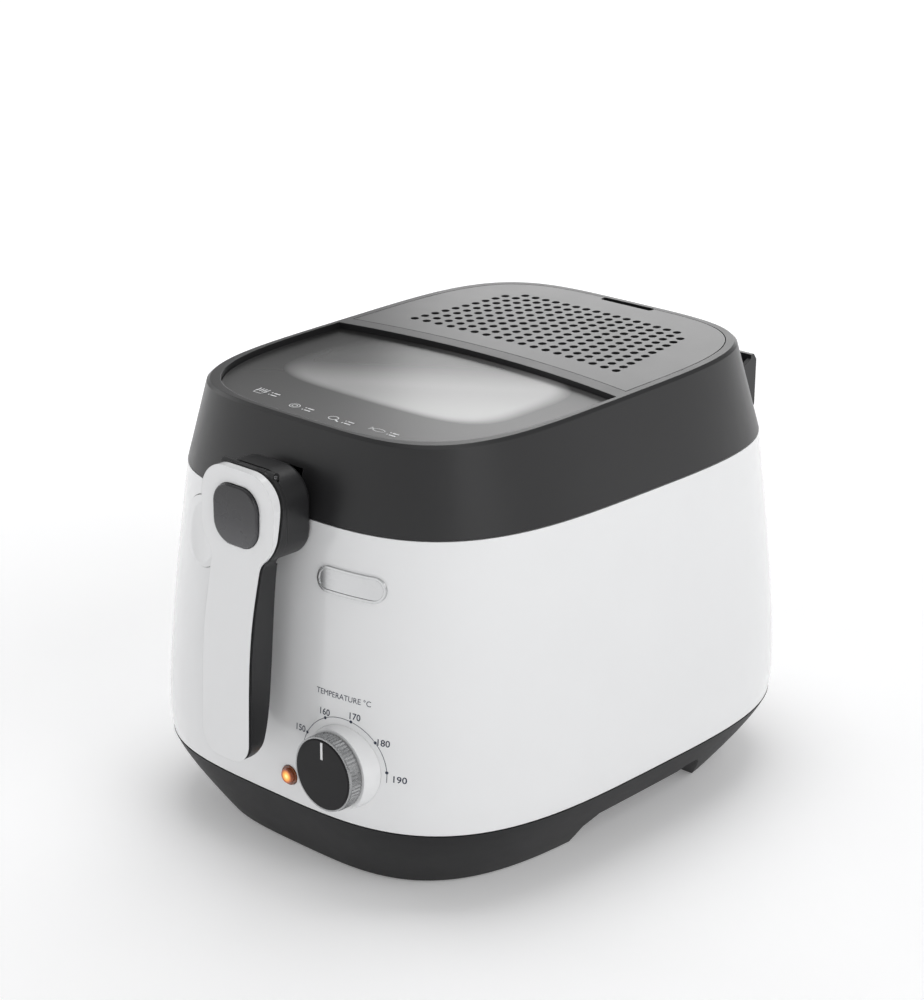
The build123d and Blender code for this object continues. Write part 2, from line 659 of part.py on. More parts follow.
def button_guide():
    """Sleeve behind the button, with a bar for its spring and two ears for the latch pin."""
    ring = rod_y(RELEASE_X, -172, -158, RELEASE_Z, RELEASE_RADIUS + 3.2)
    ring = ring - rod_y(RELEASE_X, -180, -150, RELEASE_Z, RELEASE_RADIUS + 0.6)
    ring = ring & casing_inside(CONTACT_GAP)
    low, high = LEVER_Z - 3.5, LEVER_Z + 3.5
    bar_low, bar_high = RELEASE_SPRING_Z - 3.1, RELEASE_SPRING_Z + 3.1
    left = block(LATCH_X - 15, LATCH_X - 11, -163.4, -158, low, high)
    left = left + block(LATCH_X - 15, LATCH_X - 11, RELEASE_SPRING_BACK, -158, bar_low, high)
    right = block(LATCH_X + 11, RELEASE_X + 22.5, -163.4, -158, low, high)
    bar = block(LATCH_X - 15, RELEASE_X + 20.5, RELEASE_SPRING_BACK, -158, bar_low, bar_high)
    notch = block(LATCH_X - 8, LATCH_X + 8, -163.5, -150, LEVER_Z + 6, PARTING_Z)
    return (ring + left + right + bar) - notch - latch_pin()


def latch_pin():
    return rod_x(LATCH_X - 15, LATCH_X + 12, LEVER_Y, LEVER_Z, LATCH_PIN_RADIUS)


def latch_lever():
    """Rocker: the button pushes its lower pad, and its upper nose swings clear of the lid's hook."""
    left, right = LATCH_X - 5, LATCH_X + 5
    hub = rod_x(LATCH_X - 5.5, LATCH_X + 5.5, LEVER_Y, LEVER_Z, 3.0)
    arm = block(left, right, LEVER_Y - 1.4, LEVER_Y + 0.6, LEVER_Z - 12, LEVER_Z + 9.5)
    pad = block(left, right, LEVER_Y - 4, LEVER_Y, LEVER_Z - 12, LEVER_Z - 8)
    bore = LATCH_PIN_RADIUS + RUNNING_CLEARANCE
    return (hub + arm + pad) - rod_x(LATCH_X - 8, LATCH_X + 8, LEVER_Y, LEVER_Z, bore)


def lid_catch():
    """Hook that hangs from the lid's front wall through the collar."""
    foot = block(LATCH_X - 6, LATCH_X + 6, -170, -155.5, 226, 229) & lid_cavity()
    blade = block(LATCH_X - 5, LATCH_X + 5, -157.3, -155.5, LEVER_Z + 2, 229)
    barb = block(LATCH_X - 5, LATCH_X + 5, -159.3, -157.3, LEVER_Z + 4, LEVER_Z + 6.4)
    return foot + blade + barb


# ---------------------------------------------------------------- hinge at the back
def hinge_ear(x):
    """Ear of the fixed hinge bracket."""
    points = [(172.0, 206), (176.0, 206), (188.5, 224), (188.5, 236), (181, 238), (178.5, 234), (173.3, 222)]
    return side_prism(points, 2.0, x)


def hinge_bracket():
    """Steel bracket fixed to the casing's rear wall."""
    plate = block(-42, 42, 168, 176.5, 204, 221.5)
    ears = hinge_ear(-38) + hinge_ear(38)
    body = (plate + ears) - casing_outside()
    for x in HINGE_SCREW_XS:
        body = body - rod_y(x, 160, 180, HINGE_SCREW_Z, 1.6)
    return body - rod_x(-60, 60, HINGE_Y, HINGE_Z, HINGE_PIN_RADIUS)


def hinge_pin():
    return rod_x(-41.5, 41.5, HINGE_Y, HINGE_Z, HINGE_PIN_RADIUS)


def hinge_screws():
    screws = []
    for x in HINGE_SCREW_XS:
        head = rod_y(x, 176.5, 178.3, HINGE_SCREW_Z, 3.4)
        screws.append(head + rod_y(x, 168, 176.5, HINGE_SCREW_Z, 1.6))
    return screws


def hinge_cover():
    """Black cowl over the hinge."""
    points = [(171, 212), (193, 212), (197, 216), (197, 247), (194, 251), (191, 251), (191, 216), (171, 216)]
    shell = side_prism(points, 66)
    cheek = [(171, 212), (193, 212), (193, 249), (176, 241), (176, 221.8), (171, 221.8)]
    cheeks = side_prism(cheek, 1.5, 64.5) + side_prism(cheek, 1.5, -64.5)
    bracket_gap = block(-43, 43, 160, 189.2, 200, 222)
    return (shell + cheeks) - casing_outside() - bracket_gap


def lid_hinge_arm():
    """Two arms on a plate, fixed to the lid's rear wall."""
    arm = [(160, 227), (HINGE_Y, HINGE_Z - 5.5), (HINGE_Y, HINGE_Z + 5.5), (160, 239)]
    plate = block(-30, 30, 160, 171.5, 227, 239)
    body = plate
    for x in (-27, 27):
        body = body + side_prism(arm, 3, x) + rod_x(x - 3, x + 3, HINGE_Y, HINGE_Z, 5.5)
    body = body - lid_outer()
    return body - rod_x(-60, 60, HINGE_Y, HINGE_Z, HINGE_PIN_RADIUS + RUNNING_CLEARANCE)


# ---------------------------------------------------------------- lid
def lid_cavity():
    """Hollow inside the lid's walls, up to the underside of its deck."""
    low = PARTING_HALF_WIDTH - LID_WALL
    high = LID_TOP_HALF_WIDTH
    return tub([(low, low + DEPTH_EXTRA, low + DEPTH_EXTRA, LID_BOTTOM - 1),
                (high, high + 36.5, high + 31.3, LID_TOP - DECK, LID_TOP_POWER, LID_SLOPE)])


def lid_frame():
    outer = lid_outer()
    frame = outer - lid_cavity()
    frame = frame - below_lid(window_face(0), -1, GLASS_DEPTH + GLASS_THICKNESS + GASKET_THICKNESS)
    frame = frame - below_lid(window_face(LEDGE), 0, DECK + 1)
    frame = frame - below_lid(filter_face(0), -1, COVER_THICKNESS + 0.1)
    frame = frame - below_lid(filter_face(LEDGE), 0, DECK + 1)
    finger_notch = Pos(0, LID_TOP_BACK - RIM_LAND - 3) * RectangleRounded(42, 9, 2)
    frame = frame - below_lid(finger_notch, -1, 3.5)
    for x, y in LID_SCREW_PLACES:
        boss = rod_z(x, y, LINER_FLANGE_Z + LINER_SHEET, LID_TOP - DECK + 1, 4.6) & outer
        frame = frame + boss - rod_z(x, y, LINER_FLANGE_Z, 244, 1.5)
    return frame - front_slot(LID_BOTTOM - 2, SLOT_TOP)


def lid_window():
    return below_lid(window_face(COVER_GAP), GLASS_DEPTH, GLASS_DEPTH + GLASS_THICKNESS)


def window_gasket():
    ring = window_face(COVER_GAP + 0.3) - window_face(LEDGE)
    top = GLASS_DEPTH + GLASS_THICKNESS
    return below_lid(ring, top, top + GASKET_THICKNESS)


def viewing_well():
    """Black frame that leads from the lid liner up to the window."""
    ring = window_face(LEDGE - WELL_WALL) - window_face(LEDGE)
    return below_lid(ring, DECK, 40) & block(-FAR, FAR, -FAR, FAR, LINER_TOP_Z + LINER_SHEET, FAR)


def filter_housing():
    """Black frame that holds the odour filter above the liner."""
    ring = filter_face(LEDGE - WELL_WALL) - filter_face(LEDGE)
    return below_lid(ring, DECK, 40) & block(-FAR, FAR, -FAR, FAR, LINER_TOP_Z + LINER_SHEET, FAR)


def odour_filter():
    """Replaceable filter mat on the liner's vented floor."""
    mat = below_lid(filter_face(LEDGE + 0.7), DECK, 40)
    return mat & block(-FAR, FAR, -FAR, FAR, LINER_TOP_Z + LINER_SHEET, FAR)


def liner_pan(grow, low):
    """Inverted pan that the lid liner is pressed to."""
    base = SEAL_INNER_HALF + grow
    top = 112.0 + grow
    return tub([(base, base + 33, base + 33, low), (top, top + 32, top + 28, LINER_TOP_Z + grow)])


def lid_liner():
    size = (LINER_FLANGE_HALF, LINER_FLANGE_HALF + DEPTH_EXTRA, LINER_FLANGE_HALF + DEPTH_EXTRA)
    flange = tub([size + (LINER_FLANGE_Z,), size + (LINER_FLANGE_Z + LINER_SHEET,)])
    liner = (flange + liner_pan(LINER_SHEET, LINER_FLANGE_Z)) - liner_pan(0, LINER_FLANGE_Z - 0.01)
    liner = liner - tall(window_face(LEDGE), LINER_TOP_Z - 3)
    liner = liner - block(LATCH_X - 7, LATCH_X + 7, -170, -154, LINER_FLANGE_Z - 2, LINER_FLANGE_Z + 3)
    for x in range(-60, 61, 20):
        liner = liner - block(x - 6, x + 6, 40, 112, LINER_TOP_Z - 2, LINER_TOP_Z + 4)
    for x, y in LID_SCREW_PLACES:
        liner = liner - rod_z(x, y, LINER_FLANGE_Z - 2, LINER_FLANGE_Z + 3, 1.5)
    return liner - front_slot(LINER_FLANGE_Z - 2, SLOT_TOP)


def tall(face, z):
    """Upright prism on a flat outline from height z upwards."""
    return extrude(Pos(0, 0, z) * face, amount=60, dir=(0, 0, 1))


def lid_screws():
    screws = []
    for x, y in LID_SCREW_PLACES:
        screws.append(rod_z(x, y, LINER_FLANGE_Z - 1.2, LINER_FLANGE_Z, 3.0)
                      + rod_z(x, y, LINER_FLANGE_Z, 240, 1.5))
    return screws


def lid_seal():
    """Soft ring under the liner's inner edge."""
    outer_half = SEAL_INNER_HALF + 3.6
    outer_size = (outer_half, outer_half + 33, outer_half + 33)
    inner_size = (SEAL_INNER_HALF, SEAL_INNER_HALF + 33, SEAL_INNER_HALF + 33)
    low, high = PARTING_Z + 0.4, LINER_FLANGE_Z
    ring = tub([outer_size + (low,), outer_size + (high,)]) - tub([inner_size + (low - 1,), inner_size + (high + 1,)])
    return ring - front_slot(PARTING_Z - 2, SLOT_TOP)


def filter_cover():
    """Perforated cover over the odour filter, with a finger notch at its rear edge."""
    plate = filter_face(COVER_GAP)
    notch = Pos(0, LID_TOP_BACK - RIM_LAND) * RectangleRounded(42, 8, 2)
    holes = []
    for row in range(VENT_ROWS):
        pitch = VENT_PITCH_FRONT + (VENT_PITCH_REAR - VENT_PITCH_FRONT) * row / (VENT_ROWS - 1)
        trim = 1 if row == VENT_ROWS - 1 else 0
        for column in range(trim, VENT_COLUMNS - trim):
            x = (column - (VENT_COLUMNS - 1) / 2) * pitch
            y = VENT_FIRST_Y + VENT_ROW_PITCH * row - VENT_BOW * (x / 84) ** 2
            holes.append(Pos(x, y) * Circle(VENT_RADIUS))
    outline = (plate - notch).faces()[0].outer_wire()
    inner = [hole.faces()[0].outer_wire() for hole in holes]
    return below_lid(Face(outline, inner), 0, COVER_THICKNESS)


# ---------------------------------------------------------------- basket and its lift
def lid_clear_body():
    """Space of the casing and lid that the handle housing keeps clear of."""
    gap = 1.3
    low = casing_solid(180, PARTING_Z, gap, 4)
    half = PARTING_HALF_WIDTH + gap
    top_half = LID_TOP_HALF_WIDTH + gap
    high = tub([(half, half + DEPTH_EXTRA, half + DEPTH_EXTRA, PARTING_Z),
                (top_half, LID_TOP_FRONT + gap, LID_TOP_BACK + gap, LID_TOP, LID_TOP_POWER, LID_SLOPE)])
    return low + high


def pod_outline(shrink=0.0):
    """Rounded square of the handle's head."""
    width = POD_WIDTH - 2 * shrink
    height = POD_TOP - POD_BOTTOM - 2 * shrink
    return Pos(0, (POD_TOP + POD_BOTTOM) / 2) * RectangleRounded(width, height, POD_CORNER - shrink)


def handle_housing():
    """Black box behind the handle's head; it slides up the front with the basket."""
    wall = 2.6
    shell = front_prism(pod_outline(0.6), HOUSING_FRONT_Y, HOUSING_BACK_Y)
    shell = fillet(shell.faces().sort_by(Axis.Y)[-1].edges(), 3.0) - lid_clear_body()
    shell = shell - front_prism(pod_outline(0.6 + wall), HOUSING_FRONT_Y - 1, LIFT_PLATE_Y)
    hinge_relief = rod_x(-26, 26, FOLD_Y, FOLD_Z, 3.1)
    corner_relief = block(-26, 26, HOUSING_FRONT_Y - 1, FOLD_Y + 3.1, FOLD_Z, POD_TOP + 1)
    shell = shell - hinge_relief - corner_relief
    for x in (-11, 11):
        shell = shell + rod_x(x - 3, x + 3, FOLD_Y, FOLD_Z, 2.6)
        shell = shell + block(x - 3, x + 3, FOLD_Y, FOLD_Y + 6, FOLD_Z - 2.6, FOLD_Z)
    slot = block(-LIFT_BAR_HALF_WIDTH, LIFT_BAR_HALF_WIDTH, -182, -150, LIFT_BAR_Z, LIFT_BAR_Z + LIFT_BAR_THICKNESS)
    return shell - rod_x(-30, 30, FOLD_Y, FOLD_Z, HANDLE_PIN_RADIUS) - slot


def handle_pin():
    return rod_x(-21.5, 21.5, FOLD_Y, FOLD_Z, HANDLE_PIN_RADIUS)


def lift_bracket():
    """Steel strap from the housing through the front slot to the basket's rim."""
    half = LIFT_BAR_HALF_WIDTH
    top = LIFT_BAR_Z + LIFT_BAR_THICKNESS
    bar = block(-half, half, LIFT_PLATE_Y - 3, -121, LIFT_BAR_Z, top)
    back_plate = block(-half, half, LIFT_PLATE_Y - 3, LIFT_PLATE_Y, LIFT_BAR_Z, 236)
    hook = block(-half, half, -124.5, -121, BASKET_RIM_Z - 2, top)
    plate_holes = rod_y(-6, -190, -150, 222, 1.6) + rod_y(6, -190, -150, 222, 1.6)
    return bar + back_plate + hook - plate_holes


def basket_sections(inset, low, high):
    """Sections of the basket between its floor and its rim."""
    sections = []
    for z, shrink in ((low, 9.0), (low + 3, 4.0), (low + 9, 0.0)):
        half = BASKET_BOTTOM_HALF_WIDTH - shrink - inset
        sections.append((half, half + BASKET_DEPTH_EXTRA, half + BASKET_DEPTH_EXTRA, z))
    half = BASKET_RIM_HALF_WIDTH - inset
    sections.append((half, half + BASKET_DEPTH_EXTRA, half + BASKET_DEPTH_EXTRA, high))
    return sections


def basket_mesh():
    outside = tub(basket_sections(0, BASKET_BOTTOM_Z, BASKET_RIM_Z - 2))
    inside = tub(basket_sections(BASKET_WALL, BASKET_BOTTOM_Z + BASKET_WALL, BASKET_RIM_Z - 1))
    return outside - inside


def basket_rim():
    """Stout wire round the basket's mouth."""
    half = BASKET_RIM_HALF_WIDTH - BASKET_WALL / 2
    sections = [(half + 1.8, half + 1.8 + BASKET_DEPTH_EXTRA, half + 1.8 + BASKET_DEPTH_EXTRA, BASKET_RIM_Z - 2),
                (half + 1.8, half + 1.8 + BASKET_DEPTH_EXTRA, half + 1.8 + BASKET_DEPTH_EXTRA, BASKET_RIM_Z + 1.6)]
    return ring_tub(sections, 3.6) - block(-LIFT_BAR_HALF_WIDTH, LIFT_BAR_HALF_WIDTH, -124.5, -121, 180, 210)


# ---------------------------------------------------------------- handle
def handle_outline(shrink=0.0):
    """Head and arm of the handle in X and Z, with hollow curves where they meet."""
    width = ARM_WIDTH - 2 * shrink
    top = POD_BOTTOM + POD_CORNER
    height = top - ARM_BOTTOM - shrink
    arm = Pos(0, (top + ARM_BOTTOM + shrink) / 2) * RectangleRounded(width, height, ARM_CORNER - shrink)
    both = pod_outline(shrink) + arm
    neck = [v for v in both.vertices() if abs(v.Y - POD_BOTTOM - shrink) < 5 and abs(abs(v.X) - width / 2) < 0.1]
    return fillet(neck, NECK_RADIUS)


def side_profile(front, back, half_width=FAR / 10):
    """Prism along X between two bowed lines given in Y and Z."""
    front_line = Spline(*front)
    back_line = Spline(*back)
    top = Line(front_line @ 0, back_line @ 0)
    bottom = Line(front_line @ 1, back_line @ 1)
    face = Plane.YZ * make_face([front_line, bottom, back_line, top])
    return extrude(Pos(-half_width, 0, 0) * face, amount=2 * half_width, dir=(1, 0, 0))


def handle_cover():
    """White front shell of the handle: head and arm in one."""
    cover = front_prism(handle_outline(), -240, -180) & side_profile(COVER_FRONT_LINE, COVER_BACK_LINE)
    front_face = cover.faces().sort_by(SortBy.AREA)[-1]
    cover = chamfer(front_face.edges(), COVER_BEVEL_DEPTH, COVER_BEVEL_WIDTH)
    opening = Pos(0, BUTTON_Z) * RectangleRounded(BUTTON_WIDTH + 0.8, BUTTON_HEIGHT + 0.8, BUTTON_CORNER + 0.4)
    return cover - front_prism(opening, -230, -190)


def handle_core():
    """Black rear half of the handle, hinged to the housing along its top edge."""
    outline = front_prism(handle_outline(0.3), -240, -180)
    behind_cover = side_profile(COVER_BACK_LINE, [(y + 40, z) for y, z in COVER_BACK_LINE])
    plate = outline & behind_cover & block(-FAR, FAR, -240, HOUSING_FRONT_Y - 0.4, POD_BOTTOM, FAR)
    before_back = side_profile([(y - 40, z) for y, z in CORE_BACK_LINE], CORE_BACK_LINE)
    arm = outline & behind_cover & before_back & block(-FAR, FAR, -240, -150, 0, POD_BOTTOM)
    press_space = Pos(0, BUTTON_Z) * RectangleRounded(BUTTON_WIDTH + 0.8, BUTTON_HEIGHT + 0.8, BUTTON_CORNER + 0.4)
    core = plate + arm - front_prism(press_space, -240, POD_SPLIT_Y)
    pocket = Pos(0, BUTTON_Z) * RectangleRounded(BUTTON_WIDTH - 5, BUTTON_HEIGHT - 5, BUTTON_CORNER - 2.5)
    core = core - front_prism(pocket, -240, SPRING_SEAT_Y) - rod_y(0, -240, -180, BUTTON_Z, 3.0)
    for x in (-11, 11):
        core = core - rod_x(x - 3.4, x + 3.4, FOLD_Y, FOLD_Z, 3.2)
    for x0, x1 in ((-21.5, -14.4), (-7.6, 7.6), (14.4, 21.5)):
        core = core + rod_x(x0, x1, FOLD_Y, FOLD_Z, 2.5)
    return core - rod_x(-30, 30, FOLD_Y, FOLD_Z, HANDLE_PIN_RADIUS + RUNNING_CLEARANCE)


def handle_button():
    """Grey push button in the handle's head."""
    cap = Pos(0, BUTTON_Z) * RectangleRounded(BUTTON_WIDTH, BUTTON_HEIGHT, BUTTON_CORNER)
    body = front_prism(cap, BUTTON_FACE_Y, BUTTON_BACK_Y)
    body = fillet(body.faces().sort_by(Axis.Y)[0].edges(), 1.0)
    stem = rod_y(0, BUTTON_BACK_Y - 0.2, -186.0, BUTTON_Z, 2.6)
    return body + stem


def button_spring():
    """Outer shape of the handle button's return spring."""
    sleeve = rod_y(0, BUTTON_BACK_Y, SPRING_SEAT_Y, BUTTON_Z, 6.0)
    return sleeve - rod_y(0, BUTTON_BACK_Y - 1, SPRING_SEAT_Y + 1, BUTTON_Z, 4.4)


def release_spring():
    """Outer shape of the lid button's return spring."""
    sleeve = rod_y(LATCH_X, RELEASE_SPRING_FRONT, RELEASE_SPRING_BACK, RELEASE_SPRING_Z, 3.0)
    return sleeve - rod_y(LATCH_X, RELEASE_SPRING_FRONT - 1, RELEASE_SPRING_BACK + 1, RELEASE_SPRING_Z, 2.2)


# ---------------------------------------------------------------- nodes
NODES = {
    "base_tray": base_tray,
    "rubber_feet": rubber_feet,
    "base_screws": base_screws,
    "support_posts": support_posts,
    "outer_casing": outer_casing,
    "rim_collar": rim_collar,
    "oil_bowl": oil_bowl,
    "bowl_cradle": bowl_cradle,
    "heat_spreader": heat_spreader,
    "heating_element": heating_element,
    "element_terminals": element_terminals,
    "heat_shield": heat_shield,
    "shield_clips": shield_clips,
    "thermostat": thermostat,
    "thermostat_bulb": thermostat_bulb,
    "bulb_clips": bulb_clips,
    "thermal_cutout": thermal_cutout,
    "terminal_block": terminal_block,
    "wiring": wiring,
    "pilot_lamp": pilot_lamp,
    "pilot_lens": pilot_lens,
    "cord_gland": cord_gland,
    "dial_bezel": dial_bezel,
    "badge": badge,
    "button_guide": button_guide,
    "latch_pin": latch_pin,
    "hinge_bracket": hinge_bracket,
    "hinge_pin": hinge_pin,
    "hinge_screws": hinge_screws,
    "hinge_cover": hinge_cover,
    "knob_ring": knob_ring,
    "knob_cap": knob_cap,
    "knob_pointer": knob_pointer,
    "knob_shaft": knob_shaft,
    "lid_button": lid_button,
    "release_spring": release_spring,
    "latch_lever": latch_lever,
    "lid_frame": lid_frame,
    "lid_window": lid_window,
    "window_gasket": window_gasket,
    "viewing_well": viewing_well,
    "filter_housing": filter_housing,
    "odour_filter": odour_filter,
    "lid_liner": lid_liner,
    "lid_seal": lid_seal,
    "lid_screws": lid_screws,
    "lid_catch": lid_catch,
    "lid_hinge_arm": lid_hinge_arm,
    "filter_cover": filter_cover,
    "handle_housing": handle_housing,
    "handle_pin": handle_pin,
    "lift_bracket": lift_bracket,
    "basket_rim": basket_rim,
    "basket_mesh": basket_mesh,
    "handle_cover": handle_cover,
    "handle_core": handle_core,
    "handle_button": handle_button,
    "button_spring": button_spring,
}


def solids_of(shape):
    """Every solid of a part, or of a list of parts."""
    shapes = shape if isinstance(shape, list) else [shape]
    solids = []
    for item in shapes:
        solids.extend(item.solids())
    return solids


os.makedirs("parts", exist_ok=True)
for name, make in NODES.items():
    pieces = solids_of(make())
    node = pieces[0] if len(pieces) == 1 else Compound(children=pieces)
    export_step(node, os.path.join("parts", name + ".step"))
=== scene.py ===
import bpy, bmesh, json, math
from mathutils import Matrix, Vector, noise


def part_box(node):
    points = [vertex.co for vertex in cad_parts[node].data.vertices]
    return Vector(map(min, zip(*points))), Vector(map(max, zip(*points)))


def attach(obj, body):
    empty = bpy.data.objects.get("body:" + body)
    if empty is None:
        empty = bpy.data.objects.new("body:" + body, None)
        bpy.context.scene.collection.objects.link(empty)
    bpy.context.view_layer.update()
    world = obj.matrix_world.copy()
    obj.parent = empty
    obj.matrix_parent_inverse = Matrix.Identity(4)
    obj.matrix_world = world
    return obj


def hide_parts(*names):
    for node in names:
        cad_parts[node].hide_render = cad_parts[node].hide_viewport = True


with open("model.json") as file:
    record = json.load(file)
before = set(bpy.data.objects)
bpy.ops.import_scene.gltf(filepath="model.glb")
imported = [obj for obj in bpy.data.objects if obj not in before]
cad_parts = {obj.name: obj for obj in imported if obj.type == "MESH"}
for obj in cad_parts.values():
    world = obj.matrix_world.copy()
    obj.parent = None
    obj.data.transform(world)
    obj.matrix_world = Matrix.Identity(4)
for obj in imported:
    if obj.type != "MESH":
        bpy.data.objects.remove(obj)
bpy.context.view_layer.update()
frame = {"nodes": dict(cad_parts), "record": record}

NODES = frame["nodes"]
MM = 0.001
BEVEL_SAMPLES = 4


# ---------------------------------------------------------------- materials
def start(name):
    """An empty node material, with its shader, output and coordinates."""
    m = bpy.data.materials.new(name)
    m.use_nodes = True
    nt = m.node_tree
    nt.nodes.clear()
    out = nt.nodes.new("ShaderNodeOutputMaterial")
    bsdf = nt.nodes.new("ShaderNodeBsdfPrincipled")
    nt.links.new(bsdf.outputs[0], out.inputs[0])
    coord = nt.nodes.new("ShaderNodeTexCoord")
    return m, nt, bsdf, coord


def noise_node(nt, vector, scale, detail=3.0, rough=0.5, stretch=None):
    if stretch:
        mapping = nt.nodes.new("ShaderNodeMapping")
        mapping.inputs["Scale"].default_value = stretch
        nt.links.new(vector, mapping.inputs["Vector"])
        vector = mapping.outputs[0]
    n = nt.nodes.new("ShaderNodeTexNoise")
    n.inputs["Scale"].default_value = scale
    n.inputs["Detail"].default_value = detail
    n.inputs["Roughness"].default_value = rough
    nt.links.new(vector, n.inputs["Vector"])
    return n.outputs["Fac"]


def ramp(nt, fac, stops, interpolation="LINEAR"):
    """A colour ramp; a stop's colour is three numbers, or one for a grey."""
    r = nt.nodes.new("ShaderNodeValToRGB")
    r.color_ramp.interpolation = interpolation
    elements = r.color_ramp.elements
    while len(elements) > 1:
        elements.remove(elements[-1])
    for i, (pos, col) in enumerate(stops):
        e = elements[0] if i == 0 else elements.new(pos)
        e.position = pos
        e.color = (col, col, col, 1) if isinstance(col, float) else (*col, 1)
    nt.links.new(fac, r.inputs[0])
    return r.outputs[0]


def span(nt, fac, lo, hi, a=0.3, b=0.7):
    """Maps a to lo and b to hi."""
    r = nt.nodes.new("ShaderNodeMapRange")
    for i, v in enumerate((a, b, lo, hi)):
        r.inputs[i + 1].default_value = v
    nt.links.new(fac, r.inputs[0])
    return r.outputs[0]


def scaled(col, k):
    return tuple(min(1.0, c * k) for c in col)


def math_node(nt, op, a, b=None, c=None):
    n = nt.nodes.new("ShaderNodeMath")
    n.operation = op
    for i, v in enumerate((a, b, c)):
        if v is None:
            continue
        if isinstance(v, (int, float)):
            n.inputs[i].default_value = v
        else:
            nt.links.new(v, n.inputs[i])
    return n.outputs[0]


def bump(nt, bsdf, height, strength, distance, edge=0.0):
    """Bump on the shader's normal, on top of softened edges where edge is given."""
    b = nt.nodes.new("ShaderNodeBump")
    b.inputs["Strength"].default_value = strength
    b.inputs["Distance"].default_value = distance
    nt.links.new(height, b.inputs["Height"])
    if edge:
        e = nt.nodes.new("ShaderNodeBevel")
        e.samples = BEVEL_SAMPLES
        e.inputs["Radius"].default_value = edge
        nt.links.new(e.outputs[0], b.inputs["Normal"])
    nt.links.new(b.outputs[0], bsdf.inputs["Normal"])


def separate(nt, vector):
    """The x, y and z of a vector."""
    sep = nt.nodes.new("ShaderNodeSeparateXYZ")
    nt.links.new(vector, sep.inputs[0])
    return sep.outputs


def plastic(name, col, rough, coat=0.0, coat_rough=0.08, grain=900.0, depth=0.00006,
            strength=0.25, tint=0.05, spread=0.05, edge=0.0005, sheen=0.0, ior=1.5):
    """Moulded plastic or rubber: fine spark-eroded grain, faint flow marks and handled patches."""
    m, nt, bsdf, coord = start(name)
    obj = coord.outputs["Object"]
    flow = noise_node(nt, obj, 9.0, 4.0, 0.6)
    colour = ramp(nt, flow, [(0.3, scaled(col, 1 - tint)), (0.7, scaled(col, 1 + tint))])
    nt.links.new(colour, bsdf.inputs["Base Color"])
    patches = noise_node(nt, obj, 38.0, 5.0, 0.65)
    nt.links.new(span(nt, patches, max(0.02, rough - spread), rough + spread),
                 bsdf.inputs["Roughness"])
    bsdf.inputs["IOR"].default_value = ior
    bsdf.inputs["Coat Weight"].default_value = coat
    bsdf.inputs["Coat Roughness"].default_value = coat_rough
    bsdf.inputs["Sheen Weight"].default_value = sheen
    bump(nt, bsdf, noise_node(nt, obj, grain, 2.0, 0.6), strength, depth, edge)
    return m


def metal(name, col, rough, stretch=(1, 1, 1), grain=400.0, strength=0.07, tint=0.08,
          stain=None, edge=0.0003, metallic=1.0):
    """Rolled, drawn or plated metal with fine lines and slight stains."""
    m, nt, bsdf, coord = start(name)
    obj = coord.outputs["Object"]
    cloud = noise_node(nt, obj, 14.0, 5.0, 0.6)
    low = stain or scaled(col, 1 - tint)
    colour = ramp(nt, cloud, [(0.32, low), (0.66, scaled(col, 1 + tint / 2))])
    nt.links.new(colour, bsdf.inputs["Base Color"])
    lines = noise_node(nt, obj, grain, 3.0, 0.6, stretch)
    nt.links.new(span(nt, lines, rough * 0.75, rough * 1.3), bsdf.inputs["Roughness"])
    bsdf.inputs["Metallic"].default_value = metallic
    bump(nt, bsdf, lines, strength, 0.00004, edge)
    return m


def lens_material():
    """Amber lens with the lamp's glow in its middle and a darker rim."""
    m, nt, bsdf, coord = start("amber_lens_lit")
    x, _, z = separate(nt, coord.outputs["Object"])
    lo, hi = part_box("pilot_lamp")
    dx = math_node(nt, "SUBTRACT", x, (lo.x + hi.x) / 2)
    dz = math_node(nt, "SUBTRACT", z, (lo.z + hi.z) / 2)
    square = math_node(nt, "ADD", math_node(nt, "MULTIPLY", dx, dx),
                       math_node(nt, "MULTIPLY", dz, dz))
    # 0 in the middle, 1 at a radius of 6.7 mm
    dist = math_node(nt, "MULTIPLY", math_node(nt, "SQRT", square), 150.0)
    glow = ramp(nt, dist, [(0.0, (1.0, 0.8, 0.3)), (0.3, (1.0, 0.46, 0.06)),
                           (0.55, (0.6, 0.12, 0.015)), (0.75, (0.16, 0.035, 0.008)),
                           (1.0, (0.3, 0.08, 0.015))])
    nt.links.new(glow, bsdf.inputs["Base Color"])
    nt.links.new(glow, bsdf.inputs["Emission Color"])
    nt.links.new(ramp(nt, dist, [(0.0, 0.8), (0.45, 0.3), (0.65, 0.02)]),
                 bsdf.inputs["Emission Strength"])
    bsdf.inputs["Roughness"].default_value = 0.12
    bsdf.inputs["Coat Weight"].default_value = 0.6
    bump(nt, bsdf, noise_node(nt, coord.outputs["Object"], 700.0), 0.15, 0.00005, 0.0004)
    return m


